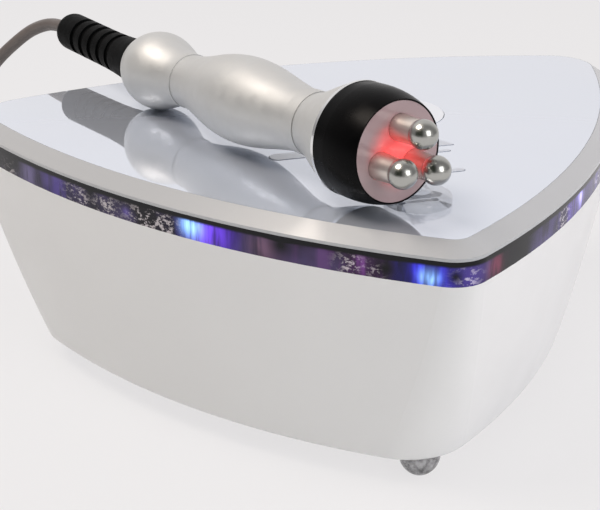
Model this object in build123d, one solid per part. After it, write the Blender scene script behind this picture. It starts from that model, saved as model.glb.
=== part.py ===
"""Facial care device: a three-cornered base unit and a cabled handpiece with three ball electrodes.

Millimetres. Z is up and z = 0 is the table. The base is symmetric about the YZ plane, its front
corner points along -Y and its connectors are on the long +Y side.
"""
import os
from math import atan, atan2, cos, degrees, pi, radians, sin, sqrt, tan

from build123d import *

os.makedirs("parts", exist_ok=True)

# Outline of the rim, the widest level of the base
RIM_FRONT_Y = -105.6
RIM_FRONT_R = 14.4
RIM_CORNER_X = 125.1
RIM_CORNER_Y = 76.1
RIM_CORNER_R = 25.1
RIM_SIDE_R = 359.5
RIM_BACK_R = 450.0
RIM = (RIM_FRONT_Y, RIM_FRONT_R, RIM_CORNER_X, RIM_CORNER_Y, RIM_CORNER_R, RIM_SIDE_R, RIM_BACK_R)

# Outline of the underside, the narrowest level
UNDER_FRONT_Y = -63.4
UNDER_FRONT_R = 29.0
UNDER_CORNER_X = 101.2
UNDER_CORNER_Y = 56.1
UNDER_CORNER_R = 23.5
UNDER_SIDE_R = 301.0
UNDER_BACK_R = 377.0
UNDER = (UNDER_FRONT_Y, UNDER_FRONT_R, UNDER_CORNER_X, UNDER_CORNER_Y, UNDER_CORNER_R,
         UNDER_SIDE_R, UNDER_BACK_R)

# Levels of the base
FOOT_H = 11.0
PANEL_Z = 111.0
RIM_DROP = 4.4
LIP_H = 1.2
BAND_H = 9.4
UNDER_Z = FOOT_H
BAND_TOP_Z = PANEL_Z - RIM_DROP - LIP_H
BAND_Z = BAND_TOP_Z - BAND_H

# Taper of the housing: a straight share and a curved share
TAPER_STRAIGHT = 0.64
TAPER_POWER = 1.9
TAPER_LEVELS = 5

# Walls and clearances of the base
WALL = 2.8
FLOOR_T = 3.0
UNDER_ROUND = 3.5
FLANGE_W = 20.0
LAP_W = 3.0
PLATE_T = 2.0
FIT = 0.25
BEVEL_W = 7.0
PANEL_T = 2.6
LEDGE_W = 5.0
LEDGE_T = 2.0
LEDGE_EDGE = 0.6
ARM_L = 70.0
BAND_T = 3.2
BAND_FOOT_T = 1.2
SKIRT_T = 1.6
SKIRT_H = 3.0
OVERCUT = 1.0
CUT_DEPTH = 60.0

# Screws of the underside plate and posts of the bezel, in from the edge of the underside
PLATE_SCREW_IN = 21.4
PLATE_BOSS_R = 3.8
PLATE_BOSS_H = 7.0
POST_IN = 9.0
POST_R = 4.0
POST_SPLIT_Z = 60.0
POST_BITE = 8.0

# Screws
SCREW_R = 1.5
SCREW_HEAD_R = 2.8
SCREW_HEAD_H = 1.8
SCREW_BITE = 0.05
SCREW_ROOM = 0.2
SLOT_L = 3.2
SLOT_W = 0.8

# Boards
BOARD_T = 1.6
STANDOFF_H = 9.0
STANDOFF_R = 3.0
LED_BOARD_W = 7.0
LED_BOARD_T = 1.2
LED_W = 3.0
LED_H = 1.2
LED_L = 3.5
LED_EDGE = 0.8
LED_STEP = 12.0
BOARD_EDGE = 4.5
SIDE_BOARD_X = 45.0
SIDE_BOARD_Y = 34.0
SIDE_BOARD_W = 70.0
SIDE_BOARD_D = 54.0
MAIN_BOARD_Y = -28.0
MAIN_BOARD_W = 66.0
MAIN_BOARD_D = 44.0
BOARD_HOLE_R = 1.2
BOARD_SCREW_R = 0.95
BOARD_SCREW_L = 5.0
BOARD_HEAD_R = 2.0
BOARD_HEAD_H = 1.3
SLOT_COUNT = 6
SLOT_PITCH = 8.0
PLATE_SLOT_W = 30.0
PLATE_SLOT_D = 3.0

# Parts on the boards
PART_FIT = 0.2
CORE_X = -12.0
CORE_LEG = 10.0
CORE_WINDOW_W = 9.0
CORE_SIDE = 4.0
CORE_YOKE = 5.0
CORE_D = 14.0
CORE_H = 30.0
WINDING_BULGE = 7.0
WINDING_GAP = 1.0
CAN_R = 4.6
CAN_H = 20.0
CAN_X = 16.0
CAN_Y = -16.0
CAN_PITCH = 11.0
CAN_ROW = 13.0
SINK_X = -16.0
SINK_L = 44.0
SINK_BASE_T = 3.0
SINK_EDGE = 0.4
FINS = 5
FIN_PITCH = 3.0
FIN_T = 1.2
FIN_H = 21.5
CHOKE_X = 16.0
CHOKE_Y = -8.0
CHOKE_R = 10.0
CHOKE_WIRE_R = 4.2
FORMER_H = 11.0
CHIP_W = 6.0
CHIP_D = 8.0
CHIP_H = 2.4
CHIP_PITCH = 9.0
CHIP_ROW_X = 8.0
CHIP_ROW_Y = 16.0
PROCESSOR_W = 14.0
SMALL_CHIP_W = 8.0
SMALL_CHIP_D = 5.0
SMALL_CHIP_H = 1.6
SMALL_CHIP_X = 20.0
SMALL_CHIP_Y = 8.0
HEADER_W = 10.0
HEADER_D = 6.0
HEADER_H = 7.0
HEADER_PITCH = 14.0
HEADER_Y = -17.0

# Keys
KEY_TRAVEL = 0.6
KEY_GAP = 0.3
KEY_FLANGE_T = 1.2
KEY_FLANGE_W = 1.8
KEY_STAND = 0.2
KEY_SEAT = 0.05
KEY_ROUND = 0.4
RING_X = 25.5
RING_Y = 27.2
RING_R = 22.0
RING_BAND = 9.0
RING_FLANGE_IN = 2.2
RING_STEM_R = 17.5
CENTRE_FLANGE = 1.4
UP_KEY_X = 30.5
UP_KEY_Y = -16.4
UP_KEY_SIDE = 8.4
LINE_KEY_X = 27.4
LINE_KEY_Y = -25.2
LINE_KEY_L = 7.2
LINE_KEY_W = 2.2
LOW_KEY_X = 22.0
LOW_KEY_Y = -48.0
LOW_KEY_L = 12.0
LOW_KEY_W = 3.0
OVAL_KEY_X = -31.0
OVAL_KEY_Y = -14.0
OVAL_KEY_L = 20.0
OVAL_KEY_W = 7.0
SWITCH_W = 6.0
SWITCH_H = 3.8
SWITCH_TIP_R = 1.7
SWITCH_TIP_H = 1.0
SWITCH_SLACK = 0.75
KEY_BOARD_X = 5.0
KEY_BOARD_Y = 1.0
KEY_BOARD_W = 110.0
KEY_BOARD_D = 112.0
KEY_BOARD_ROUND = 4.0
KEY_BOARD_IN = 22.0
KEY_POST_R = 3.0
KEY_BOARD_POSTS = [(-44.0, 46.0), (54.0, 50.0), (-40.0, -34.0), (36.0, -40.0)]

# Rear connector plate
PORT_W = 118.0
PORT_H = 40.0
PORT_Z = 44.0
PORT_Y = 90.0
PORT_T = 2.0
PORT_WALL = 2.4
PORT_FRAME_T = 5.0
PORT_SIDE = 8.0
PORT_LAP = 3.0
PLATE_FIT = 0.2
SOCKET_FIT = 0.02
REAR_SCREW_IN = 4.0
REAR_SCREW_L = 6.0
VENTS = 6
VENT_GAP = 7.6
VENT_W = 20.0
VENT_H = 2.6
VENT_PITCH = 6.0
VENT_Z = 22.0
VENT_Y = 84.0
CONNECTOR_IN = 25.0
SOCKET_X = PORT_W / 2 - CONNECTOR_IN
SOCKET_R = 8.0
SOCKET_BORE_R = 6.1
SOCKET_FLANGE_R = 10.5
SOCKET_FLANGE_T = 3.7
SOCKET_DEPTH = 16.0
SOCKET_NUT_R = 11.0
SOCKET_NUT_T = 3.0
SOCKET_PINS = 4
SOCKET_PIN_R = 0.7
SOCKET_PIN_L = 3.0
SOCKET_PIN_RING = 3.4
INLET_X = CONNECTOR_IN - PORT_W / 2
INLET_W = 27.0
INLET_H = 19.5
INLET_D = 17.0
INLET_WALL = 1.8
INLET_FLANGE_W = 2.0
INLET_FLANGE_T = 2.0
INLET_FLOOR_T = 3.8
INLET_PIN_X = 7.0
INLET_PIN_DROP = 1.5
INLET_PIN_W = 2.0
INLET_PIN_H = 4.0
SWITCH_X = 0.0
ROCKER_W = 12.8
ROCKER_H = 19.0
ROCKER_TILT = 16.0
ROCKER_IN_W = 9.8
ROCKER_PIN_R = 0.9
ROCKER_PIN_IN = 0.8
ROCKER_Y = PORT_Y + PORT_T - ROCKER_PIN_IN
ROCKER_D = 18.0
ROCKER_WELL = 10.0
ROCKER_LIP = 1.2
ROCKER_LIP_T = 1.6
ROCKER_GAP = 0.3
ROCKER_END_GAP = 1.1
ROCKER_ROOT = 4.2
ROCKER_TOP = 2.4
ROCKER_MID = 1.4
ROCKER_PIN_L = 1.0

# Feet
FOOT_R = 8.25
FOOT_NECK = 2.75
FOOT_STEM_R = 2.4
FRONT_FOOT_Y = -82.5
REAR_FOOT_X = 108.5
REAR_FOOT_Y = 64.0
FOOT_FLAT_R = 2.5

# Handpiece: places along its own axis, from the back of the collar, the electrodes ahead
HEAD_X = -22.2
HEAD_Y = -67.1
HEAD_AZIMUTH = -70.1
TAIL_END = -152.0
TAIL_END_R = 10.9
TAIL_TRIM = 1.2
TAIL_TOP = -138.0
TAIL_TOP_R = 16.7
TAIL_SEAM = -112.0
WAIST_R = 11.2
SEAM_STEP = 0.3
BELLY = -71.0
BELLY_R = 17.6
NECK_SEAM = -30.0
RING_SEAM = -24.0
NECK_R = 12.2
NECK_RING_STAND = 0.35
NECK_RING_T = 2.0
COLLAR_R = 21.4
RIM_BAND = 1.3
COLLAR_L = 22.5
COLLAR_STRAIGHT = 7.0
COLLAR_POWER = 2.2
COLLAR_STEP = 0.2
LENS_R = 18.3
LENS_LIP_R = 18.9
LENS_T = 2.4
LENS_FIT = 0.1
LENS_LEDGE = 1.4
LENS_DROP = 0.2
HEAD_BORE_R = LENS_R + LENS_FIT - LENS_LEDGE
HEAD_BOARD_GAP = 0.6
HEAD_FIT = 0.1
CARRIER_AT = 6.0
CARRIER_T = 6.0
HEAD_LAMP_W = 3.4
HEAD_LAMP_T = 2.0
HEAD_LAMP_R = 11.0

# Electrodes
BALL_R = 5.35
BALL_OUT = 12.2
BALL_PITCH_R = 8.8
ELECTRODE_ROLL = 7.0
STEM_R = 4.95
STEM_WAIST_R = 4.65
STEM_STRAIGHT = 2.0
STEM_FIT = 0.05
STEM_SEAT = 2.0
STEM_PIN_R = 2.0
STEM_PIN_L = 4.0
SHELL_WALL = 1.7
SEAT_GAP = 0.3

# Boot of the handpiece
BOOT_L = 69.5
BOOT_R = 10.4
BOOT_END_R = 8.6
BOOT_FLARE_L = 32.0
BOOT_FLARE_STEPS = 8
BOOT_SPIGOT_R = 7.2
BOOT_ROUND = 5.5
BOOT_TILT = 4.1
BOOT_RIBS = 5
BOOT_RIB_PITCH = 8.1
BOOT_RIB_DEPTH = 1.1
BOOT_RIB_W = 3.4
BOOT_FIRST_RIB = 17.0
BOOT_SPIGOT_L = 8.0

# Clear holder beside the collar: a round base with a forked post
HOLDER_X = -1.3
HOLDER_Y = -75.0
HOLDER_R = 12.6
HOLDER_T = 3.2
HOLDER_ROUND = 1.2
HOLDER_CONE_R = 5.6
HOLDER_POST_R = 4.0
HOLDER_CONE_H = 2.0
FORK_W = 5.0
FORK_T = 1.7
FORK_GAP = 0.8
FORK_H = 8.6
HOLDER_PIN_R = 1.6
HOLDER_PIN_X = 6.5
REST_CHECKS = 360

# Plug of the cable
PLUG_END_Y = PORT_Y + 46.0
PLUG_CORE_R = 5.9
PLUG_CORE_L = 7.0
PLUG_R = 8.6
PLUG_L = 30.0
PLUG_GROOVES = 18
PLUG_GROOVE_R = 0.7
PLUG_GROOVE_IN = 6.0
PLUG_RELIEF_R = 6.2
PLUG_RELIEF_END_R = 4.2

# Cable and its coil
CABLE_R = 3.0
TIE_T = 0.5
TIE_SLACK = 0.15
TIE_W = 9.0
TIE_GAP = 0.3
TIE_ROUND = 3.0
COIL_X = 0.0
COIL_Y = 250.0
COIL_PITCH = 7.8
COIL_LAYER = 7.0
COIL_IN_R = 24.5
COIL_TURNS_EACH = 2.375
COIL_CLIMB = 0.5
CABLE_Z = CABLE_R + TIE_T + TIE_SLACK


def outline_at(k):
    """The seven outline values between the rim (k = 0) and the underside (k = 1)."""
    return tuple(a + (b - a) * k for a, b in zip(RIM, UNDER))


def outline_edges(shape, z, inset=0.0):
    """Six tangent arcs at height z, moved inwards by inset: front, side, corner, back, corner, side."""
    front_y, front_r, corner_x, corner_y, corner_r, side_r, back_r = shape
    front = Vector(0, front_y, z)
    corner = Vector(corner_x, corner_y, z)
    span = corner - front
    reach_front = side_r - front_r
    reach_corner = side_r - corner_r
    along = (reach_front ** 2 - reach_corner ** 2 + span.length ** 2) / (2 * span.length)
    across = sqrt(reach_front ** 2 - along ** 2)
    unit = span.normalized()
    side = front + unit * along + Vector(-unit.Y, unit.X, 0) * across
    back = Vector(0, corner_y - sqrt((back_r - corner_r) ** 2 - corner_x ** 2), z)
    to_front = (front - side).normalized()
    to_corner = (corner - side).normalized()
    to_back = (corner - back).normalized()
    front_end = front + to_front * (front_r - inset)
    side_mid = side + (to_front + to_corner).normalized() * (side_r - inset)
    side_end = corner + to_corner * (corner_r - inset)
    corner_mid = corner + (to_corner + to_back).normalized() * (corner_r - inset)
    corner_end = corner + to_back * (corner_r - inset)
    tip = Vector(0, front_y - front_r + inset, z)
    crown = Vector(0, back.Y + back_r - inset, z)

    def mirrored(p):
        return Vector(-p.X, p.Y, p.Z)

    return [
        ThreePointArc(mirrored(front_end), tip, front_end),
        ThreePointArc(front_end, side_mid, side_end),
        ThreePointArc(side_end, corner_mid, corner_end),
        ThreePointArc(corner_end, crown, mirrored(corner_end)),
        ThreePointArc(mirrored(corner_end), mirrored(corner_mid), mirrored(side_end)),
        ThreePointArc(mirrored(side_end), mirrored(side_mid), mirrored(front_end)),
    ]


def outline(shape, z, inset=0.0):
    """Closed wire of an outline at height z."""
    return Wire(outline_edges(shape, z, inset))


def slab(shape, z, height, inset=0.0):
    """Straight prism on an outline."""
    return extrude(Face(outline(shape, z, inset)), height, dir=(0, 0, 1))


def band_ring(shape, z, height, inset, thickness):
    return slab(shape, z, height, inset) - slab(shape, z, height, inset + thickness)


def taper(z):
    """Share of the way from the rim outline to the underside outline at height z."""
    s = (BAND_Z - z) / (BAND_Z - UNDER_Z)
    return TAPER_STRAIGHT * s + (1 - TAPER_STRAIGHT) * s ** TAPER_POWER


def tub(inset, z_low):
    """Smooth tapering solid of the housing, from z_low up to the light band."""
    levels = [z_low + (BAND_Z - z_low) * i / (TAPER_LEVELS - 1) for i in range(TAPER_LEVELS)]
    return Solid.make_loft([outline(outline_at(taper(z)), z, inset) for z in levels])


def column(x, y, z, radius, height):
    return Pos(x, y, z) * Cylinder(radius, height, align=(Align.CENTER, Align.CENTER, Align.MIN))


def block(x, y, z, width, depth, height):
    return Pos(x, y, z) * Box(width, depth, height, align=(Align.CENTER, Align.CENTER, Align.MIN))


def screw(x, y, z, length, up=True):
    """Countersunk-style pan screw with its head at z and its shank pointing up or down."""
    head = column(0, 0, -SCREW_HEAD_H, SCREW_HEAD_R, SCREW_HEAD_H)
    slot = block(0, 0, -SCREW_HEAD_H, SLOT_L, SLOT_W, SLOT_W)
    slot += block(0, 0, -SCREW_HEAD_H, SLOT_W, SLOT_L, SLOT_W)
    piece = head - slot + column(0, 0, 0, SCREW_R, length)
    return Pos(x, y, z) * (piece if up else Rot(180, 0, 0) * piece)


# Stretches of an outline, in the order of its arcs
FRONT, SIDE, _, BACK = range(4)


def under_spot(stretch, share, inset):
    """Place on a stretch of the underside's outline, inset from its edge."""
    spot = outline_edges(UNDER, 0, inset)[stretch] @ share
    return spot.X, spot.Y


def both_sides(spots):
    return [(side * x, y) for x, y in spots for side in (-1, 1)]


# Posts that join the bezel to the housing, over the flange of the underside
POSTS = both_sides([
    under_spot(SIDE, 0.16, POST_IN),
    under_spot(SIDE, 0.72, POST_IN),
    under_spot(BACK, 0.15, POST_IN),
])
POST_HOLE_R = SCREW_R + SCREW_ROOM
PLATE_SCREWS = [under_spot(FRONT, 0.5, PLATE_SCREW_IN)]
PLATE_SCREWS += both_sides([under_spot(SIDE, 0.45, PLATE_SCREW_IN), under_spot(BACK, 0.267, PLATE_SCREW_IN)])
FEET = [(0.0, FRONT_FOOT_Y), (REAR_FOOT_X, REAR_FOOT_Y), (-REAR_FOOT_X, REAR_FOOT_Y)]


def port_frame():
    """Solid block round the rear opening, before the opening is cut."""
    width = PORT_W + 2 * PORT_WALL
    height = PORT_H + 2 * PORT_WALL
    return block(0, PORT_Y - PORT_FRAME_T + CUT_DEPTH / 2, PORT_Z - height / 2, width, CUT_DEPTH, height)


def housing():
    body = tub(0.0, UNDER_Z)
    body = fillet(body.faces().sort_by(Axis.Z)[0].edges(), UNDER_ROUND)
    shell = body - tub(WALL, UNDER_Z + FLOOR_T) + (body & port_frame())
    shell -= block(0, PORT_Y + CUT_DEPTH / 2, PORT_Z - PORT_H / 2, PORT_W, CUT_DEPTH, PORT_H)
    window_w = PORT_W - 2 * PORT_SIDE
    window_h = PORT_H - 2 * PORT_LAP
    shell -= block(0, PORT_Y, PORT_Z - window_h / 2, window_w, CUT_DEPTH / 2, window_h)
    for x, z in rear_screw_spots():
        hole = rod(-OVERCUT, PORT_FRAME_T + OVERCUT, SCREW_R + SCREW_BITE)
        shell -= Pos(x, PORT_Y - PORT_FRAME_T, z) * Rot(0, 0, 90) * hole
    for x, y in PLATE_SCREWS:
        shell += column(x, y, UNDER_Z + PLATE_T, PLATE_BOSS_R, PLATE_BOSS_H)
    shell -= slab(UNDER, UNDER_Z - OVERCUT, PLATE_T + OVERCUT, FLANGE_W - LAP_W)
    opening = slab(UNDER, UNDER_Z - OVERCUT, FLOOR_T + 2 * OVERCUT, FLANGE_W)
    for x, y in PLATE_SCREWS:
        opening -= column(x, y, UNDER_Z + PLATE_T, PLATE_BOSS_R, PLATE_BOSS_H)
    shell -= opening
    for x, y in PLATE_SCREWS:
        shell -= column(x, y, UNDER_Z, SCREW_R + SCREW_BITE, PLATE_T + PLATE_BOSS_H + OVERCUT)
    root = FLOOR_T - SCREW_ROOM
    for x, y in POSTS:
        shell += column(x, y, UNDER_Z + root, POST_R, POST_SPLIT_Z - UNDER_Z - root)
        shell -= column(x, y, UNDER_Z - OVERCUT, POST_HOLE_R, POST_SPLIT_Z)
        well_h = OVERCUT + SCREW_HEAD_H + SCREW_ROOM
        shell -= column(x, y, UNDER_Z - OVERCUT, SCREW_HEAD_R + SCREW_ROOM, well_h)
    for x, y in FEET:
        shell -= column(x, y, UNDER_Z - OVERCUT, FOOT_STEM_R + SCREW_BITE, FLOOR_T + 2 * OVERCUT)
    vent_x = PORT_W / 2 + PORT_WALL + VENT_GAP + VENT_W / 2
    for i in range(VENTS):
        for side in (-1, 1):
            z = VENT_Z + VENT_PITCH * i
            shell -= block(side * vent_x, VENT_Y + CUT_DEPTH / 2, z, VENT_W, CUT_DEPTH, VENT_H)
    return shell


def bottom_plate():
    plate = slab(UNDER, UNDER_Z, PLATE_T, FLANGE_W - LAP_W + FIT)
    for x, y in PLATE_SCREWS:
        plate -= column(x, y, UNDER_Z - OVERCUT, POST_HOLE_R, PLATE_T + 2 * OVERCUT)
    for spec in BOARDS.values():
        for x, y in board_corners(spec):
            plate += column(x, y, UNDER_Z + PLATE_T, STANDOFF_R, STANDOFF_H)
            plate -= column(x, y, UNDER_Z + PLATE_T, BOARD_SCREW_R + SCREW_BITE, STANDOFF_H + OVERCUT)
    first_y = SIDE_BOARD_Y - SLOT_PITCH * (SLOT_COUNT - 1) / 2
    for side in (-1, 1):
        for i in range(SLOT_COUNT):
            y = first_y + SLOT_PITCH * i
            through = PLATE_T + 2 * OVERCUT
            plate -= block(side * SIDE_BOARD_X, y, UNDER_Z - OVERCUT, PLATE_SLOT_W, PLATE_SLOT_D, through)
    return plate


# Boards on the underside plate: centre x, centre y, width, depth
BOARDS = {
    "power_board": (-SIDE_BOARD_X, SIDE_BOARD_Y, SIDE_BOARD_W, SIDE_BOARD_D),
    "output_board": (SIDE_BOARD_X, SIDE_BOARD_Y, SIDE_BOARD_W, SIDE_BOARD_D),
    "main_board": (0.0, MAIN_BOARD_Y, MAIN_BOARD_W, MAIN_BOARD_D),
}


def board_corners(spec):
    x, y, width, depth = spec
    across = width / 2 - BOARD_EDGE
    deep = depth / 2 - BOARD_EDGE
    return [(x + i * across, y + j * deep) for i in (-1, 1) for j in (-1, 1)]


BOARD_Z = UNDER_Z + PLATE_T + STANDOFF_H


def board(spec):
    x, y, width, depth = spec
    piece = block(x, y, BOARD_Z, width, depth, BOARD_T)
    for cx, cy in board_corners(spec):
        piece -= column(cx, cy, BOARD_Z - OVERCUT, BOARD_HOLE_R, BOARD_T + 2 * OVERCUT)
    return piece


def board_screw(x, y, z):
    head = column(x, y, z, BOARD_HEAD_R, BOARD_HEAD_H)
    return head + column(x, y, z - BOARD_SCREW_L, BOARD_SCREW_R, BOARD_SCREW_L)


def light_band():
    ring = band_ring(RIM, BAND_Z, BAND_H, 0.0, BAND_T)
    foot = band_ring(RIM, BAND_Z, BAND_FOOT_T, BAND_T, LED_BOARD_W)
    return ring + foot


def bezel():
    rim_z = PANEL_Z - RIM_DROP
    ring = slab(RIM, BAND_TOP_Z, LIP_H)
    ring += Solid.make_loft([outline(RIM, rim_z), outline(RIM, PANEL_Z, BEVEL_W)], ruled=True)
    ring -= slab(RIM, PANEL_Z - PANEL_T, PANEL_T + OVERCUT, BEVEL_W)
    ring -= slab(RIM, BAND_TOP_Z - OVERCUT, CUT_DEPTH, BEVEL_W + LEDGE_W)
    ring += band_ring(RIM, BAND_TOP_Z - SKIRT_H, SKIRT_H, BAND_T + FIT, SKIRT_T)
    ledge_z = PANEL_Z - PANEL_T - LEDGE_T
    below = BAND_TOP_Z - OVERCUT
    ring -= band_ring(RIM, below, ledge_z - below, BEVEL_W + LEDGE_EDGE, LEDGE_W + LEDGE_T)
    for x, y in POSTS:
        ring += bezel_arm(x, y, ledge_z)
    for x, y in POSTS:
        ring += column(x, y, POST_SPLIT_Z, POST_R, ledge_z - POST_SPLIT_Z + LEDGE_EDGE)
        ring -= column(x, y, POST_SPLIT_Z - OVERCUT, SCREW_R + SCREW_BITE, POST_BITE + 2 * OVERCUT)
    return ring


def bezel_arm(x, y, ledge_z):
    """Flat arm from a post out to the ledge, below the panel."""
    away = Vector(x, y, 0).normalized()
    bar = block(ARM_L / 2, 0, 0, ARM_L, 2 * POST_R, LEDGE_T)
    arm = Pos(x, y, ledge_z) * Rot(0, 0, degrees(atan2(away.Y, away.X))) * bar
    return arm & slab(RIM, ledge_z, LEDGE_T, BEVEL_W + OVERCUT)


# Keys: name, centre, and the shape of the cap as a sketch about its own centre
def triangle(side):
    height = side * sqrt(3) / 2
    return Polygon((-side / 2, -height / 3), (side / 2, -height / 3), (0, 2 * height / 3), align=None)


def key_sketches(grow=0.0):
    """Cap outlines of the keys, grown outwards by grow."""
    ring = Pos(RING_X, RING_Y) * (Circle(RING_R + grow) - Circle(RING_R - RING_BAND - grow))
    centre = Pos(RING_X, RING_Y) * Circle(RING_R - RING_BAND - KEY_GAP + grow)
    up = Pos(UP_KEY_X, UP_KEY_Y) * offset(triangle(UP_KEY_SIDE), KEY_ROUND + grow)
    line = Pos(LINE_KEY_X, LINE_KEY_Y) * SlotOverall(LINE_KEY_L + 2 * grow, LINE_KEY_W + 2 * grow)
    low = Pos(LOW_KEY_X, LOW_KEY_Y) * SlotOverall(LOW_KEY_L + 2 * grow, LOW_KEY_W + 2 * grow)
    oval = Pos(OVAL_KEY_X, OVAL_KEY_Y) * SlotOverall(OVAL_KEY_L + 2 * grow, OVAL_KEY_W + 2 * grow)
    return {
        "ring_key": ring,
        "centre_key": centre,
        "up_key": up,
        "line_key": line,
        "low_key": low,
        "oval_key": oval,
    }


KEY_STEMS = {
    "ring_key": [
        (RING_X + RING_STEM_R, RING_Y),
        (RING_X - RING_STEM_R, RING_Y),
        (RING_X, RING_Y + RING_STEM_R),
        (RING_X, RING_Y - RING_STEM_R),
    ],
    "centre_key": [(RING_X, RING_Y)],
    "up_key": [(UP_KEY_X, UP_KEY_Y)],
    "line_key": [(LINE_KEY_X, LINE_KEY_Y)],
    "low_key": [(LOW_KEY_X, LOW_KEY_Y)],
    "oval_key": [(OVAL_KEY_X, OVAL_KEY_Y)],
}
FLANGE_TOP = PANEL_Z - PANEL_T - KEY_SEAT
KEY_BOARD_Z = FLANGE_TOP - KEY_FLANGE_T - SWITCH_SLACK - SWITCH_TIP_H - SWITCH_H - BOARD_T


def panel_cutouts():
    cuts = []
    caps = key_sketches(KEY_GAP)
    caps["ring_key"] = Pos(RING_X, RING_Y) * Circle(RING_R + KEY_GAP)
    caps.pop("centre_key")
    for cap in caps.values():
        cuts.append(extrude(Pos(0, 0, PANEL_Z - PANEL_T - OVERCUT) * cap, PANEL_T + 2 * OVERCUT))
    return cuts


def key_cap(name):
    """Key cap with its flange; the ring key is relieved over the flange of the centre key."""
    cap = extrude(Pos(0, 0, FLANGE_TOP) * key_sketches()[name], PANEL_Z + KEY_STAND - FLANGE_TOP)
    flange_z = FLANGE_TOP - KEY_FLANGE_T
    centre_r = RING_R - RING_BAND + CENTRE_FLANGE
    if name == "ring_key":
        cap -= column(RING_X, RING_Y, FLANGE_TOP, centre_r + KEY_GAP, KEY_TRAVEL + KEY_STAND)
        inner = Circle(RING_R - RING_BAND + RING_FLANGE_IN)
        flange = Pos(RING_X, RING_Y) * (Circle(RING_R + KEY_FLANGE_W) - inner)
    elif name == "centre_key":
        flange = Pos(RING_X, RING_Y) * Circle(centre_r)
    else:
        flange = key_sketches(KEY_FLANGE_W)[name]
    return cap + extrude(Pos(0, 0, flange_z) * flange, KEY_FLANGE_T)


def panel():
    plate = slab(RIM, PANEL_Z - PANEL_T, PANEL_T, BEVEL_W + FIT / 2)
    for cut in panel_cutouts():
        plate -= cut
    for x, y in holder_pins():
        plate -= column(x, y, PANEL_Z - PANEL_T - OVERCUT, HOLDER_PIN_R + SCREW_BITE, PANEL_T + 2 * OVERCUT)
    post_h = PANEL_Z - PANEL_T - KEY_BOARD_Z - BOARD_T
    for x, y in KEY_BOARD_POSTS:
        plate += column(x, y, KEY_BOARD_Z + BOARD_T, KEY_POST_R, post_h + SCREW_ROOM)
        plate -= column(x, y, KEY_BOARD_Z, BOARD_SCREW_R + SCREW_BITE, BOARD_T + post_h)
    return plate


def key_board():
    face = RectangleRounded(KEY_BOARD_W, KEY_BOARD_D, KEY_BOARD_ROUND)
    plate = extrude(Pos(KEY_BOARD_X, KEY_BOARD_Y, KEY_BOARD_Z) * face, BOARD_T)
    for x, y in KEY_BOARD_POSTS:
        plate -= column(x, y, KEY_BOARD_Z - OVERCUT, BOARD_HOLE_R, BOARD_T + 2 * OVERCUT)
    return plate & slab(RIM, KEY_BOARD_Z, BOARD_T, KEY_BOARD_IN)


def tact_switch(x, y):
    top = KEY_BOARD_Z + BOARD_T
    tip = column(x, y, top + SWITCH_H, SWITCH_TIP_R, SWITCH_TIP_H)
    return block(x, y, top, SWITCH_W, SWITCH_W, SWITCH_H) + tip


def walk_rim(inset, step):
    """Evenly spaced places and headings along the rim outline moved inwards."""
    wire = outline(RIM, 0, inset)
    count = int(wire.length / step)
    return [(wire.position_at((i + 0.5) / count), wire.tangent_at((i + 0.5) / count)) for i in range(count)]


def band_leds():
    top = BAND_Z + BAND_FOOT_T + LED_BOARD_T
    lamps = []
    for place, heading in walk_rim(BAND_T + LED_EDGE + LED_W / 2, LED_STEP):
        turn = degrees(atan2(heading.Y, heading.X))
        lamps.append(Pos(place.X, place.Y, top) * Rot(0, 0, turn) * block(0, 0, 0, LED_L, LED_W, LED_H))
    return Compound(lamps)


def holder_pins():
    return [(HOLDER_X + i * HOLDER_PIN_X, HOLDER_Y) for i in (-1, 1)]


def cradle():
    """Round clear base with a cone and a forked post on it, pinned into the panel."""
    base = column(0, 0, 0, HOLDER_R, HOLDER_T)
    base = fillet(base.edges().group_by(Axis.Z)[-1], HOLDER_ROUND)
    cone_mid = HOLDER_T + HOLDER_CONE_H / 2
    base += Pos(0, 0, cone_mid) * Cone(HOLDER_CONE_R, HOLDER_POST_R, HOLDER_CONE_H)
    tine_h = FORK_H - HOLDER_T
    for side in (-1, 1):
        tine = block(side * (FORK_GAP + FORK_T) / 2, 0, HOLDER_T, FORK_T, FORK_W, tine_h)
        base += fillet(tine.edges().filter_by(Axis.X).group_by(Axis.Z)[-1], FORK_T)
    holder = Pos(HOLDER_X, HOLDER_Y, PANEL_Z) * base
    for x, y in holder_pins():
        holder += column(x, y, PANEL_Z - PANEL_T, HOLDER_PIN_R, PANEL_T + HOLDER_T / 2)
    return holder


def collar_radius(s):
    """Radius of the rounded collar: full at the back, drawn in to the lens lip at the front."""
    if s <= COLLAR_STRAIGHT:
        return COLLAR_R
    share = (s - COLLAR_STRAIGHT) / (COLLAR_L - COLLAR_STRAIGHT)
    return COLLAR_R - (COLLAR_R - LENS_LIP_R) * share ** COLLAR_POWER


def rest_slope():
    """Rise of the handpiece axis when its tail lies on the panel and its collar on the holder's base."""
    a = radians(HEAD_AZIMUTH)
    slopes = []
    for i in range(REST_CHECKS):
        turn = 2 * pi * i / REST_CHECKS
        dx = HOLDER_X + HOLDER_R * cos(turn) - HEAD_X
        dy = HOLDER_Y + HOLDER_R * sin(turn) - HEAD_Y
        s = dx * cos(a) + dy * sin(a)
        side = dx * sin(a) - dy * cos(a)
        if 0 <= s <= COLLAR_L and abs(side) < LENS_LIP_R:
            under = sqrt(collar_radius(s) ** 2 - side ** 2)
            slopes.append((HOLDER_T + under - TAIL_TOP_R) / (s - TAIL_TOP))
    return max(slopes)


HANDLE_TILT = degrees(atan(rest_slope()))


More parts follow.
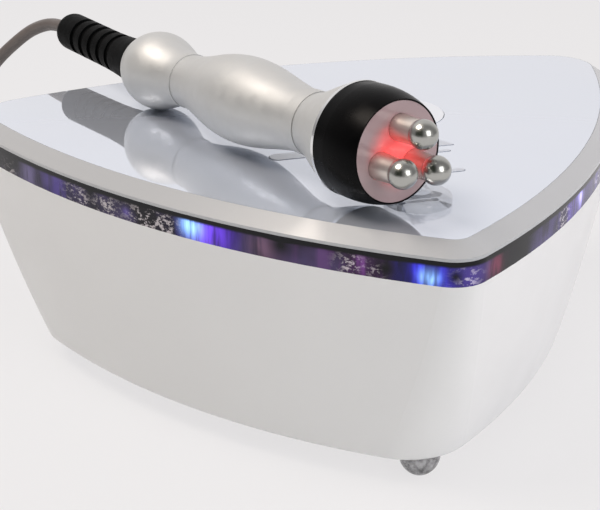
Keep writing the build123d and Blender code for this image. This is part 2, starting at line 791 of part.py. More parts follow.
def handle_plane():
    """Plane whose X runs along the handpiece towards the electrodes and whose Z is its top side."""
    a = radians(HEAD_AZIMUTH)
    t = radians(HANDLE_TILT)
    along = Vector(cos(a) * cos(t), sin(a) * cos(t), sin(t))
    up = Vector(-cos(a) * sin(t), -sin(a) * sin(t), cos(t))
    z = PANEL_Z + SEAT_GAP + TAIL_TOP_R - TAIL_TOP * tan(t)
    return Plane(origin=(HEAD_X, HEAD_Y, z), x_dir=along, z_dir=up)


HANDLE = handle_plane()


def placed(piece):
    return HANDLE.location * piece


def turned(edges):
    """Solid of revolution about the handpiece axis from a closed profile in its XY plane."""
    return revolve(make_face(edges), Axis.X, 360)


def shell_of(points, wall):
    """Hollow turned shell between two smooth curves, one wall apart."""
    inner = [(s, r - wall) for s, r in points]
    first = Line(points[0], inner[0])
    last = Line(points[-1], inner[-1])
    return turned(Curve() + [Spline(*points), Spline(*inner), first, last])


TAIL_CURVE = [
    (TAIL_END - TAIL_TRIM, TAIL_END_R),
    (-149.6, 13.2),
    (-145.0, 15.3),
    (TAIL_TOP, TAIL_TOP_R),
    (-126.0, 14.0),
    (TAIL_SEAM, WAIST_R + SEAM_STEP),
]
MAIN_CURVE = [
    (TAIL_SEAM, WAIST_R),
    (-99.0, 12.9),
    (-86.0, 16.0),
    (BELLY, BELLY_R),
    (-54.0, 15.9),
    (-40.0, 13.3),
    (NECK_SEAM, NECK_R),
]
FLARE_CURVE = [(RING_SEAM, NECK_R), (-17.0, 14.3), (-8.5, 17.9), (0.0, COLLAR_R - SEAM_STEP)]


def tube(start, end, radius, wall):
    ring = Circle(radius) - Circle(radius - wall)
    return Plane.YZ.offset(start).location * extrude(ring, end - start)


def rod(start, end, radius):
    return Plane.YZ.offset(start).location * extrude(Circle(radius), end - start)


def collar():
    steps = 6
    inner = LENS_R + LENS_FIT
    bore = HEAD_BORE_R
    ledge = COLLAR_L - LENS_T
    stations = [COLLAR_STRAIGHT + (COLLAR_L - COLLAR_STRAIGHT) * i / steps for i in range(steps + 1)]
    profile = Curve() + [
        Line((RIM_BAND, COLLAR_R - COLLAR_STEP), (COLLAR_STRAIGHT, COLLAR_R)),
        Spline(*[(s, collar_radius(s)) for s in stations]),
        Line((COLLAR_L, LENS_LIP_R), (COLLAR_L, inner)),
        Line((COLLAR_L, inner), (ledge, inner)),
        Line((ledge, inner), (ledge, bore)),
        Line((ledge, bore), (RIM_BAND, bore)),
        Line((RIM_BAND, bore), (RIM_BAND, COLLAR_R - COLLAR_STEP)),
    ]
    return turned(profile)


def around_head(radius, first):
    """Three places round the handpiece axis, as across and up."""
    turns = [radians(first + 120 * i) for i in range(3)]
    return [(radius * sin(turn), radius * cos(turn)) for turn in turns]


def electrode_spots():
    return around_head(BALL_PITCH_R, ELECTRODE_ROLL)


def electrode(y, z):
    """Polished metal electrode: a pin and barrel in the carrier, a stem with a waist, and a ball."""
    ball_at = COLLAR_L + BALL_OUT
    seat = CARRIER_AT + STEM_SEAT
    waist = ball_at - sqrt(BALL_R ** 2 - STEM_WAIST_R ** 2)
    shoulder = COLLAR_L + STEM_STRAIGHT
    middle = (STEM_R + 3 * STEM_WAIST_R) / 4
    stem = turned(Curve() + [
        Line((seat - STEM_PIN_L, 0), (seat - STEM_PIN_L, STEM_PIN_R)),
        Line((seat - STEM_PIN_L, STEM_PIN_R), (seat, STEM_PIN_R)),
        Line((seat, STEM_PIN_R), (seat, STEM_R)),
        Line((seat, STEM_R), (shoulder, STEM_R)),
        ThreePointArc((shoulder, STEM_R), ((shoulder + waist) / 2, middle), (waist, STEM_WAIST_R)),
        Line((waist, STEM_WAIST_R), (ball_at, STEM_WAIST_R)),
        Line((ball_at, STEM_WAIST_R), (ball_at, 0)),
        Line((ball_at, 0), (seat - STEM_PIN_L, 0)),
    ])
    return Pos(0, y, z) * (stem + Pos(ball_at, 0, 0) * Sphere(BALL_R))


def lens():
    disc = rod(COLLAR_L - LENS_T + STEM_FIT, COLLAR_L - LENS_DROP, LENS_R)
    for y, z in electrode_spots():
        disc -= Pos(0, y, z) * rod(0, COLLAR_L, STEM_R + LENS_FIT)
    return disc


def electrode_carrier():
    """Insulating block behind the lens that holds the three stems."""
    front = CARRIER_AT + CARRIER_T
    seat = CARRIER_AT + STEM_SEAT
    carrier = rod(CARRIER_AT, front, HEAD_BORE_R - HEAD_FIT)
    for y, z in electrode_spots():
        carrier -= Pos(0, y, z) * rod(seat, front + OVERCUT, STEM_R + STEM_FIT)
        carrier -= Pos(0, y, z) * rod(CARRIER_AT - OVERCUT, seat, STEM_PIN_R + STEM_FIT)
    return carrier


def head_board():
    start = CARRIER_AT + CARRIER_T
    disc = rod(start, start + BOARD_T, HEAD_BORE_R - HEAD_BOARD_GAP)
    for y, z in electrode_spots():
        disc -= Pos(0, y, z) * rod(start - OVERCUT, start + BOARD_T + OVERCUT, STEM_R + SEAT_GAP)
    return disc


def head_leds():
    middle = CARRIER_AT + CARRIER_T + BOARD_T + HEAD_LAMP_T / 2
    spots = [(0, 0)] + around_head(HEAD_LAMP_R, ELECTRODE_ROLL + 60)
    return Compound([Pos(middle, y, z) * Box(HEAD_LAMP_T, HEAD_LAMP_W, HEAD_LAMP_W) for y, z in spots])


# Boot: its own axis leaves the tail of the handle a little upwards
def boot_plane():
    tail = HANDLE.location * Pos(TAIL_END, 0, 0)
    a = radians(HEAD_AZIMUTH)
    e = radians(BOOT_TILT - HANDLE_TILT)
    along = Vector(-cos(a) * cos(e), -sin(a) * cos(e), sin(e))
    return Plane(origin=tail.position, x_dir=along, z_dir=(cos(a) * sin(e), sin(a) * sin(e), cos(e)))


BOOT = boot_plane()


def tail_shell():
    """Tail bulge, cut square to the boot at its open end."""
    return placed(shell_of(TAIL_CURVE, SHELL_WALL)) - BOOT.location * rod(0, 12, 16)


def boot():
    def radius(s):
        rest = max(0.0, 1 - s / BOOT_FLARE_L)
        return BOOT_END_R + (BOOT_R - BOOT_END_R) * rest ** 2

    steps = [BOOT_FLARE_L * i / BOOT_FLARE_STEPS for i in range(BOOT_FLARE_STEPS + 1)]
    flare = [(s, radius(s)) for s in steps]
    end = BOOT_L - BOOT_ROUND
    nose = BOOT_END_R - BOOT_ROUND
    middle = BOOT_ROUND * sin(pi / 4)
    body = turned(Curve() + [
        Line((-BOOT_SPIGOT_L, 0), (-BOOT_SPIGOT_L, BOOT_SPIGOT_R)),
        Line((-BOOT_SPIGOT_L, BOOT_SPIGOT_R), (0, BOOT_SPIGOT_R)),
        Line((0, BOOT_SPIGOT_R), (0, BOOT_R)),
        Spline(*flare),
        Line((BOOT_FLARE_L, BOOT_END_R), (end, BOOT_END_R)),
        ThreePointArc((end, BOOT_END_R), (end + middle, nose + middle), (BOOT_L, nose)),
        Line((BOOT_L, nose), (BOOT_L, 0)),
        Line((BOOT_L, 0), (-BOOT_SPIGOT_L, 0)),
    ])
    for i in range(BOOT_RIBS):
        s = BOOT_FIRST_RIB + BOOT_RIB_PITCH * i
        body -= tube(s, s + BOOT_RIB_W, radius(s) + OVERCUT, OVERCUT + BOOT_RIB_DEPTH)
    return body


BOOT_PIECE = BOOT.location * boot()
SHIFT_Y = -(BOOT_PIECE.bounding_box().max.Y + RIM_FRONT_Y - RIM_FRONT_R) / 2


def keep(node, shape):
    """Write one node, with the origin under the middle of the base and handpiece together."""
    export_step(Pos(0, SHIFT_Y, 0) * shape, f"parts/{node}.step")


def smooth_route(points):
    """Straight runs joined by the largest tangent arcs that the runs allow, and the arc radii."""
    radii = []
    for a, b, c in zip(points, points[1:], points[2:]):
        one, two = b - a, c - b
        turn = radians(one.get_angle(two))
        radii.append(0.45 * min(one.length, two.length) / tan(turn / 2))
    return FilletPolyline(*points, radius=radii), radii


def cable_along(path):
    """Round cable swept along a path, with its volume set against section times length."""
    start = path @ 0
    section = Plane(origin=start, z_dir=path % 0).location * Circle(CABLE_R)
    solid = sweep(section, path=path)
    share = solid.volume / (pi * CABLE_R ** 2 * path.length)
    return solid, share


def biarc(p0, t0, p1, t1):
    """Two arcs that leave p0 along t0 and reach p1 along t1."""
    v = p1 - p0
    t = t0 + t1
    a = 2 * (1 - t0.dot(t1))
    b = v.dot(t)
    if a < 1e-9:
        d = v.length / 2
    else:
        d = (-b + sqrt(b * b + a * v.dot(v))) / a
    middle = (p0 + p1 + (t0 - t1) * d) / 2
    first = TangentArc(p0, middle, tangent=t0)
    second = TangentArc(middle, p1, tangent=first % 1)
    return [first, second]


def coil_point(turns):
    """Place on the coil's centreline after a number of clockwise turns from its far side."""
    reverse = COIL_CLIMB
    inward = COIL_TURNS_EACH
    top = COIL_IN_R + COIL_PITCH * COIL_TURNS_EACH
    if turns <= inward:
        radius = top - COIL_PITCH * turns
        z = 0.0
    elif turns <= inward + reverse:
        radius = COIL_IN_R
        share = (turns - inward) / reverse
        z = COIL_LAYER * (share - sin(2 * pi * share) / (2 * pi))
    else:
        radius = COIL_IN_R + COIL_PITCH * (turns - inward - reverse)
        z = COIL_LAYER
    a = pi / 2 - 2 * pi * turns
    return Vector(COIL_X + radius * cos(a), COIL_Y + radius * sin(a), CABLE_Z + z)


COIL_TURNS = 2 * COIL_TURNS_EACH + COIL_CLIMB
COIL_ARCS = 4


def coil_heading(turns):
    """Heading of the coil, level at both ends of each arc pair outside the climb."""
    h = 1e-4
    low = max(0.0, turns - h)
    high = min(COIL_TURNS, turns + h)
    return (coil_point(high) - coil_point(low)).normalized()


def coil_path():
    count = round(COIL_TURNS * COIL_ARCS)
    spots = [COIL_TURNS * i / count for i in range(count + 1)]
    edges = []
    heading = coil_heading(0.0)
    lead_in = coil_point(0.0) - heading * (2 * CABLE_R)
    edges.append(Line(lead_in, coil_point(0.0)))
    for a, b in zip(spots, spots[1:]):
        following = coil_heading(b)
        edges += biarc(coil_point(a), heading, coil_point(b), following)
        heading = edges[-1] % 1
    lead_out = coil_point(COIL_TURNS) + heading * (2 * CABLE_R)
    edges.append(Line(coil_point(COIL_TURNS), lead_out))
    return Wire(edges)


def coil_tie():
    """Strap round the coil's bundle at its left side."""
    low = sqrt((COIL_IN_R - CABLE_R) ** 2 - (TIE_W / 2) ** 2) - TIE_GAP
    high = COIL_IN_R + COIL_PITCH * (COIL_TURNS_EACH - COIL_CLIMB) + CABLE_R + TIE_GAP
    tall = COIL_LAYER + 2 * CABLE_R + 2 * TIE_SLACK
    outer = RectangleRounded(high - low + 2 * TIE_T, tall + 2 * TIE_T, TIE_ROUND + TIE_T)
    inner = RectangleRounded(high - low, tall, TIE_ROUND)
    strap = extrude(Plane.XZ * (outer - inner), TIE_W / 2, both=True)
    return Pos(COIL_X - (low + high) / 2, COIL_Y, TIE_T + tall / 2) * strap


def coil_gap(path):
    """Least clear gap between the coil's own turns, measured on points."""
    count = 900
    points = [path.position_at(i / count) for i in range(count + 1)]
    step = path.length / count
    skip = int(40.0 / step)
    least = 1e9
    for i in range(0, count + 1, 2):
        for j in range(i + skip, count + 1, 2):
            least = min(least, (points[i] - points[j]).length)
    return least - 2 * CABLE_R


def cable_pieces():
    out = BOOT.x_dir
    exit_point = BOOT.origin + out * BOOT_L
    coil = coil_path()
    gap = coil_gap(coil)
    coil_solid, coil_share = cable_along(coil)
    coil_start = coil @ 0
    start_heading = coil % 0
    coil_end = coil @ 1
    end_heading = coil % 1
    free = [
        exit_point,
        exit_point + out * 12.3,
        Vector(-108.4, 163.2, 126.0),
        Vector(-116.2, 170.6, 120.2),
        Vector(-133.0, 184.5, 101.5),
        Vector(-144.0, 203.0, 73.0),
        Vector(-149.0, 224.0, 45.0),
        Vector(-148.0, 250.0, 24.0),
        Vector(-146.0, 277.0, CABLE_Z + 2.5),
        Vector(-128.0, 301.0, CABLE_Z),
        Vector(-96.0, 310.0, CABLE_Z),
        Vector(-62.0, 302.5, CABLE_Z),
        coil_start - start_heading * 26.0,
        coil_start,
    ]
    free_path, free_radii = smooth_route(free)
    free_solid, free_share = cable_along(free_path)
    plug_end = Vector(SOCKET_X, PLUG_END_Y, PORT_Z)
    tail = [
        coil_end,
        coil_end + end_heading * 20.0,
        Vector(40.5, 196.0, 15.0),
        Vector(37.0, 177.5, 30.0),
        plug_end + Vector(0, 21.5, 0),
        plug_end,
    ]
    tail_path, tail_radii = smooth_route(tail)
    tail_solid, tail_share = cable_along(tail_path)
    print("free run radii", [round(r, 1) for r in free_radii], "length", round(free_path.length, 1))
    print("tail radii", [round(r, 1) for r in tail_radii], "length", round(tail_path.length, 1))
    print("coil length", round(coil.length, 1), "least gap to itself", round(gap, 2))
    print("volume shares", round(free_share, 4), round(coil_share, 4), round(tail_share, 4))
    return free_solid, coil_solid, tail_solid


def cable_plug():
    """Round plug with a grooved sleeve and a short tapered relief, in the rear socket."""
    face = PORT_Y + PORT_T + SOCKET_FLANGE_T + SEAT_GAP
    sleeve = rod(0, PLUG_L, PLUG_R)
    for i in range(PLUG_GROOVES):
        a = 2 * pi * i / PLUG_GROOVES
        groove = rod(PLUG_GROOVE_IN, PLUG_L - PLUG_GROOVE_IN, PLUG_GROOVE_R)
        sleeve -= Pos(0, (PLUG_R + SEAT_GAP) * cos(a), (PLUG_R + SEAT_GAP) * sin(a)) * groove
    relief_l = PLUG_END_Y - face - PLUG_L
    slope = degrees(atan2(PLUG_RELIEF_R - PLUG_RELIEF_END_R, relief_l))
    relief = Plane.YZ.offset(PLUG_L).location * extrude(Circle(PLUG_RELIEF_R), relief_l, taper=slope)
    piece = rod(-PLUG_CORE_L, SEAT_GAP, PLUG_CORE_R) + sleeve + relief
    return Pos(SOCKET_X, face, PORT_Z) * Rot(0, 0, 90) * piece


def handpiece_socket():
    """Round panel socket: flange outside, barrel, nut and contacts inside."""
    face = PORT_Y + PORT_T
    flange = rod(0, SOCKET_FLANGE_T, SOCKET_FLANGE_R)
    barrel = rod(-SOCKET_DEPTH, 0, SOCKET_R)
    piece = flange + barrel - rod(-PLUG_CORE_L + SOCKET_FLANGE_T, SOCKET_FLANGE_T + OVERCUT, SOCKET_BORE_R)
    piece += rod(-PORT_T - SOCKET_NUT_T, -PORT_T, SOCKET_NUT_R) - rod(-SOCKET_DEPTH, 0, SOCKET_R)
    for i in range(SOCKET_PINS):
        a = pi / 4 + 2 * pi * i / SOCKET_PINS
        pin = rod(-SOCKET_DEPTH - SOCKET_PIN_L, -SOCKET_DEPTH + OVERCUT, SOCKET_PIN_R)
        piece += Pos(0, SOCKET_PIN_RING * cos(a), SOCKET_PIN_RING * sin(a)) * pin
    return Pos(SOCKET_X, face, PORT_Z) * Rot(0, 0, 90) * piece


def rear_plate():
    height = PORT_H - 2 * PLATE_FIT
    plate = block(0, PORT_Y + PORT_T / 2, PORT_Z - height / 2, PORT_W - 2 * PLATE_FIT, PORT_T, height)
    hole = rod(-OVERCUT, PORT_T + OVERCUT, SOCKET_R + SOCKET_FIT)
    plate -= Pos(SOCKET_X, PORT_Y, PORT_Z) * Rot(0, 0, 90) * hole
    for x, width, height in ((INLET_X, INLET_W, INLET_H), (SWITCH_X, ROCKER_W, ROCKER_H)):
        plate -= block(x, PORT_Y + PORT_T / 2, PORT_Z - height / 2, width, PORT_T + 2 * OVERCUT, height)
    for x, z in rear_screw_spots():
        plate -= Pos(x, PORT_Y, z) * Rot(0, 0, 90) * rod(-OVERCUT, PORT_T + OVERCUT, SCREW_R + HEAD_FIT)
    return plate


def rear_screw_spots():
    x = PORT_W / 2 - REAR_SCREW_IN
    z = PORT_H / 2 - REAR_SCREW_IN
    return [(i * x, PORT_Z + j * z) for i in (-1, 1) for j in (-1, 1)]


def rear_screw(x, z):
    return Pos(x, PORT_Y + PORT_T, z) * Rot(90, 0, 0) * screw(0, 0, 0, REAR_SCREW_L)


def port_block(x, back, front, width, height):
    """Block set in the rear plate, between two depths measured from the plate's outside."""
    depth = front - back
    y = PORT_Y + PORT_T + (front + back) / 2
    return block(x, y, PORT_Z - height / 2, width, depth, height)


def mains_inlet():
    """Three-pin appliance inlet: flange, body with its recess, earth and two other pins."""
    flange_w = INLET_W + 2 * INLET_FLANGE_W
    flange = port_block(INLET_X, 0, INLET_FLANGE_T, flange_w, INLET_H + 2 * INLET_FLANGE_W)
    body = port_block(INLET_X, -INLET_D, 0, INLET_W - 2 * FIT, INLET_H - 2 * FIT)
    floor = INLET_FLOOR_T - INLET_D
    inner_w = INLET_W - 2 * INLET_WALL
    recess = port_block(INLET_X, floor, INLET_FLANGE_T + OVERCUT, inner_w, INLET_H - 2 * INLET_WALL)
    piece = flange + body - recess
    pin = port_block(INLET_X, -INLET_D, -INLET_WALL - OVERCUT, INLET_PIN_W, INLET_PIN_H)
    for x, z in ((0, INLET_PIN_H), (-INLET_PIN_X, -INLET_PIN_DROP), (INLET_PIN_X, -INLET_PIN_DROP)):
        piece += Pos(x, 0, z) * pin
    return piece


def rocker_frame():
    flange = port_block(SWITCH_X, 0, ROCKER_LIP_T, ROCKER_W + 2 * ROCKER_LIP, ROCKER_H + 2 * ROCKER_LIP)
    body = port_block(SWITCH_X, -ROCKER_D, 0, ROCKER_W - 2 * PLATE_FIT, ROCKER_H - 2 * PLATE_FIT)
    hole_h = ROCKER_H - 2 * ROCKER_LIP_T
    hole = port_block(SWITCH_X, -ROCKER_WELL, ROCKER_LIP_T + OVERCUT, ROCKER_IN_W, hole_h)
    pivot = Cylinder(ROCKER_PIN_R + SCREW_BITE, ROCKER_IN_W + 2 * ROCKER_PIN_L + PLATE_FIT)
    return flange + body - hole - Pos(SWITCH_X, ROCKER_Y, PORT_Z) * Rot(0, 90, 0) * pivot


def rocker():
    """Rocking button with a shallow V face and a pin at each side; its upper end is in at rest."""
    reach = ROCKER_H / 2 - ROCKER_LIP_T - ROCKER_END_GAP
    face = [(-ROCKER_ROOT, -ROCKER_ROOT), (ROCKER_TOP, -reach), (ROCKER_MID, 0), (ROCKER_TOP, reach)]
    face.append((-ROCKER_ROOT, ROCKER_ROOT))
    width = ROCKER_IN_W - 2 * ROCKER_GAP
    side = Plane.YZ * make_face(Polyline(*face, close=True))
    piece = extrude(side, width / 2, both=True)
    piece += Rot(0, 90, 0) * Cylinder(ROCKER_PIN_R, ROCKER_IN_W + 2 * ROCKER_PIN_L)
    return Pos(SWITCH_X, ROCKER_Y, PORT_Z) * Rot(ROCKER_TILT / 2, 0, 0) * piece


def foot(x, y):
    """Domed foot with a small flat under it and a stem in the housing's floor."""
    dome_h = FOOT_H - FOOT_NECK
    profile = Curve() + [
        Line((0, 0), (0, FOOT_H)),
        Line((0, FOOT_H), (FOOT_R, FOOT_H)),
        Line((FOOT_R, FOOT_H), (FOOT_R, dome_h)),
        ThreePointArc((FOOT_R, dome_h), (FOOT_R * sin(pi / 4), dome_h * (1 - cos(pi / 4))), (FOOT_FLAT_R, 0)),
        Line((FOOT_FLAT_R, 0), (0, 0)),
    ]
    dome = revolve(make_face(Plane.XZ * profile), Axis.Z, 360)
    stem = column(0, 0, FOOT_H, FOOT_STEM_R, FLOOR_T)
    return Pos(x, y, 0) * (dome + stem)


def power_parts():
    """Transformer core with two windows, the winding round its middle leg, and four capacitors."""
    top = BOARD_Z + BOARD_T
    board_x, y = BOARDS["power_board"][:2]
    x = board_x + CORE_X
    window_h = CORE_H - 2 * CORE_YOKE
    core = block(x, y, top, CORE_LEG + 2 * (CORE_WINDOW_W + CORE_SIDE), CORE_D, CORE_H)
    for side in (-1, 1):
        window_x = x + side * (CORE_LEG + CORE_WINDOW_W) / 2
        core -= block(window_x, y, top + CORE_YOKE, CORE_WINDOW_W, CORE_D + OVERCUT, window_h)
    wound_w = CORE_LEG + 2 * (CORE_WINDOW_W - WINDING_GAP)
    wound_h = window_h - 2 * PART_FIT
    winding = block(x, y, top + CORE_YOKE + PART_FIT, wound_w, CORE_D + 2 * WINDING_BULGE, wound_h)
    winding -= block(x, y, top, CORE_LEG + 2 * PART_FIT, CORE_D + 2 * PART_FIT, CORE_H)
    spots = [(board_x + CAN_X + CAN_PITCH * (i % 2), y + CAN_Y + CAN_ROW * (i // 2)) for i in range(4)]
    return core, winding, Compound([column(can_x, can_y, top, CAN_R, CAN_H) for can_x, can_y in spots])


def output_parts():
    """Finned heat sink, ring coil on its former, and three chips."""
    top = BOARD_Z + BOARD_T
    x, y = BOARDS["output_board"][:2]
    span = FIN_PITCH * (FINS - 1)
    sink = block(x + SINK_X, y, top, span + FIN_T + 2 * SINK_EDGE, SINK_L, SINK_BASE_T)
    for i in range(FINS):
        sink += block(x + SINK_X - span / 2 + FIN_PITCH * i, y, top + SINK_BASE_T, FIN_T, SINK_L, FIN_H)
    ring = Pos(x + CHOKE_X, y + CHOKE_Y, top + CHOKE_WIRE_R + PART_FIT) * Torus(CHOKE_R, CHOKE_WIRE_R)
    former = column(x + CHOKE_X, y + CHOKE_Y, top, CHOKE_R - CHOKE_WIRE_R - PART_FIT, FORMER_H)
    spots = [(x + CHIP_ROW_X + CHIP_PITCH * i, y + CHIP_ROW_Y) for i in range(3)]
    row = [block(i, j, top, CHIP_W, CHIP_D, CHIP_H) for i, j in spots]
    return sink, ring, former, Compound(row)


def main_parts():
    top = BOARD_Z + BOARD_T
    x, y = BOARDS["main_board"][:2]
    processor = block(x, y, top, PROCESSOR_W, PROCESSOR_W, SMALL_CHIP_H)
    corners = [(x + i * SMALL_CHIP_X, y + j * SMALL_CHIP_Y) for i in (-1, 1) for j in (-1, 1)]
    chips = [block(cx, cy, top, SMALL_CHIP_W, SMALL_CHIP_D, SMALL_CHIP_H) for cx, cy in corners]
    spots = [(x + HEADER_PITCH * i, y + HEADER_Y) for i in (-1, 0, 1)]
    headers = [block(i, j, top, HEADER_W, HEADER_D, HEADER_H) for i, j in spots]
    return processor, Compound(chips), Compound(headers)


def build():
    keep("housing", housing())
    keep("bottom_plate", bottom_plate())
    keep("light_band", light_band())
    keep("bezel", bezel())
    keep("panel", panel())
    under = UNDER_Z + SCREW_HEAD_H + SCREW_ROOM
    keep("case_screws", Compound([screw(x, y, under, POST_SPLIT_Z - under + POST_BITE) for x, y in POSTS]))
    strip_w = LED_BOARD_W - LED_EDGE
    keep("led_board", band_ring(RIM, BAND_Z + BAND_FOOT_T, LED_BOARD_T, BAND_T + SEAT_GAP, strip_w))
    keep("band_leds", band_leds())
    for name, spec in BOARDS.items():
        keep(name, board(spec))
    corners = [spot for spec in BOARDS.values() for spot in board_corners(spec)]
    keep("board_screws", Compound([board_screw(x, y, BOARD_Z + BOARD_T) for x, y in corners]))
    core, winding, cans = power_parts()
    keep("transformer_core", core)
    keep("transformer_winding", winding)
    keep("capacitors", cans)
    sink, ring, former, chips = output_parts()
    keep("heat_sink", sink)
    keep("output_coil", ring)
    keep("coil_former", former)
    keep("output_chips", chips)
    processor, small, plugs = main_parts()
    keep("processor", processor)
    keep("board_chips", small)
    keep("board_plugs", plugs)
    keep("key_board", key_board())
    switches = [tact_switch(x, y) for stems in KEY_STEMS.values() for x, y in stems]
    keep("key_switches", Compound(switches))
    for name in KEY_STEMS:
        keep(name, key_cap(name))
    keep("cradle", cradle())
    keep("rear_plate", rear_plate())
    keep("rear_screws", Compound([rear_screw(x, z) for x, z in rear_screw_spots()]))
    keep("handpiece_socket", handpiece_socket())
    keep("mains_inlet", mains_inlet())
    keep("rocker_frame", rocker_frame())
    keep("rocker", rocker())
    keep("feet", Compound([foot(x, y) for x, y in FEET]))
    keep("plate_screws", Compound([screw(x, y, UNDER_Z, PLATE_BOSS_H) for x, y in PLATE_SCREWS]))
    keep("tail_shell", tail_shell())
    keep("main_shell", placed(shell_of(MAIN_CURVE, SHELL_WALL)))
    keep("neck_ring", placed(tube(NECK_SEAM, RING_SEAM, NECK_R + NECK_RING_STAND, NECK_RING_T)))
    keep("flare", placed(shell_of(FLARE_CURVE, SHELL_WALL)))
    keep("rim_ring", placed(tube(0.0, RIM_BAND, COLLAR_R, COLLAR_R - HEAD_BORE_R)))
    keep("collar", placed(collar()))
    keep("lens", placed(lens()))
    keep("electrode_carrier", placed(electrode_carrier()))
    keep("head_board", placed(head_board()))
    keep("head_leds", placed(head_leds()))
    for name, (y, z) in zip(("electrode_top", "electrode_right", "electrode_left"), electrode_spots()):
        keep(name, placed(electrode(y, z)))
    keep("boot", BOOT_PIECE)
    free, coil, tail = cable_pieces()
    keep("cable_free", free)
    keep("cable_coil", coil)
    keep("cable_tail", tail)
    keep("cable_plug", cable_plug())
    keep("coil_tie", coil_tie())


build()
print("moved along Y by", round(SHIFT_Y, 3))
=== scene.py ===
from math import cos, pi, radians, sin

import bpy
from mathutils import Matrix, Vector


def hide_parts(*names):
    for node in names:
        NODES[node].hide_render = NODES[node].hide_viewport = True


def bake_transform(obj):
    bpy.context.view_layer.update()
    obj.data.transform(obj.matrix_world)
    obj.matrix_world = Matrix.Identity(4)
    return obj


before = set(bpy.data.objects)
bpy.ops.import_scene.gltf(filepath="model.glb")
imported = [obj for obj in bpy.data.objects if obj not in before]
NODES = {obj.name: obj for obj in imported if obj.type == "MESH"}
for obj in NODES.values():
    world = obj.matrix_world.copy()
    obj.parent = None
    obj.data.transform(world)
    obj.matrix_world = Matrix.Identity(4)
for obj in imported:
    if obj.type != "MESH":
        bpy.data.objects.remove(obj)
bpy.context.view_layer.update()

MM = 0.001
# Places are given from the base's own plan centre, which lies here on the frame's Y axis
CENTRE_Y = -11.188


def at(x, y, z):
    """A place given in millimetres from the base's plan centre, in the frame's metres."""
    return Vector((x * MM, (y + CENTRE_Y) * MM, z * MM))


def link(obj):
    bpy.context.scene.collection.objects.link(obj)
    return obj


# Camera: the photograph's place and angle
EYE = at(-181.94, -538.36, 302.65)
HEADING = (0.2809, 0.9597)
PITCH = radians(23.268)
PHOTO_W = 600
FOCAL_PX = 1450
SENSOR = 36.0
CLIP_NEAR = 0.01
CLIP_FAR = 50.0
camera_data = bpy.data.cameras.new("photo_camera")
camera_data.sensor_fit = "HORIZONTAL"
camera_data.sensor_width = SENSOR
camera_data.lens = SENSOR * FOCAL_PX / PHOTO_W
camera_data.clip_start = CLIP_NEAR
camera_data.clip_end = CLIP_FAR
camera = link(bpy.data.objects.new("photo_camera", camera_data))
sight = Vector((HEADING[0] * cos(PITCH), HEADING[1] * cos(PITCH), -sin(PITCH)))
camera.location = EYE
camera.rotation_euler = sight.to_track_quat("-Z", "Y").to_euler()
bpy.context.scene.camera = camera

# The cable: one line from the boot to the plug, by the two-layer coil behind the base
CABLE_R = 3.0
CABLE_Z = 3.65
CABLE_SIDES = 14
COIL_X = 0.0
COIL_Y = 250.0
COIL_PITCH = 7.8
COIL_LAYER = 7.0
COIL_IN_R = 24.5
# Turns in each layer, and the part of a turn that climbs between them
COIL_EACH = 2.375
COIL_CLIMB = 0.5
COIL_TURNS = 2 * COIL_EACH + COIL_CLIMB
# Control points in each turn
COIL_STEPS = 16
LINE_ORDER = 3
LINE_STEPS = 6
BOOT_END = (-97.53, 140.99, 128.93)
BOOT_OUT = (-0.3403, 0.9400, 0.0230)
BOOT_LEAD = 12.3
# The free run follows the raised handpiece less and less down to this place. The blend goes by place and not
# along the cable, so part of the coil and the tail wrongly rise too
SETTLED = (-148.0, 250.0, 24.0)
PLUG_END = (34.0, 136.0, 44.0)


def coil_place(turns):
    """Control point of the coil after a number of clockwise turns from its far side."""
    if turns <= COIL_EACH:
        radius = COIL_IN_R + COIL_PITCH * (COIL_EACH - turns)
        z = 0.0
    elif turns <= COIL_EACH + COIL_CLIMB:
        radius = COIL_IN_R
        share = (turns - COIL_EACH) / COIL_CLIMB
        z = COIL_LAYER * (share - sin(2 * pi * share) / (2 * pi))
    else:
        radius = COIL_IN_R + COIL_PITCH * (turns - COIL_EACH - COIL_CLIMB)
        z = COIL_LAYER
    # Control points lie a little outside the curve that they draw
    radius = radius * 2 / (1 + cos(pi / COIL_STEPS))
    a = pi / 2 - 2 * pi * turns
    return (COIL_X + radius * cos(a), COIL_Y + radius * sin(a), CABLE_Z + z)


def along(start, heading, distance):
    return tuple(s + h * distance for s, h in zip(start, heading))


coil_points = round(COIL_TURNS * COIL_STEPS)
coil_end = coil_place(COIL_TURNS)
route = [
    BOOT_END,
    along(BOOT_END, BOOT_OUT, BOOT_LEAD),
    (-108.4, 163.2, 126.0),
    (-116.2, 170.6, 120.2),
    (-133.0, 184.5, 101.5),
    (-144.0, 203.0, 73.0),
    (-149.0, 224.0, 45.0),
    SETTLED,
    (-146.0, 277.0, CABLE_Z + 2.5),
    (-128.0, 301.0, CABLE_Z),
    (-96.0, 310.0, CABLE_Z),
    (-62.0, 302.5, CABLE_Z),
    (-32.0, 294.0, CABLE_Z),
    (-12.0, 293.3, CABLE_Z),
]
route += [coil_place(COIL_TURNS * i / coil_points) for i in range(coil_points + 1)]
route += [
    (coil_end[0], coil_end[1] - 10.0, coil_end[2]),
    (coil_end[0] - 0.2, coil_end[1] - 26.0, coil_end[2] + 0.5),
    (40.5, 196.0, 15.0),
    (37.0, 177.5, 30.0),
    (34.0, 157.5, 44.0),
    PLUG_END,
]
line = bpy.data.curves.new("cable_line", "CURVE")
line.dimensions = "3D"
spline = line.splines.new("NURBS")
spline.points.add(len(route) - 1)
for point, place in zip(spline.points, route):
    point.co = (*at(*place), 1.0)
spline.order_u = LINE_ORDER
spline.use_endpoint_u = True
spline.resolution_u = LINE_STEPS
line_object = link(bpy.data.objects.new("cable_line", line))
bpy.context.view_layer.update()
line_mesh = bpy.data.meshes.new_from_object(line_object)
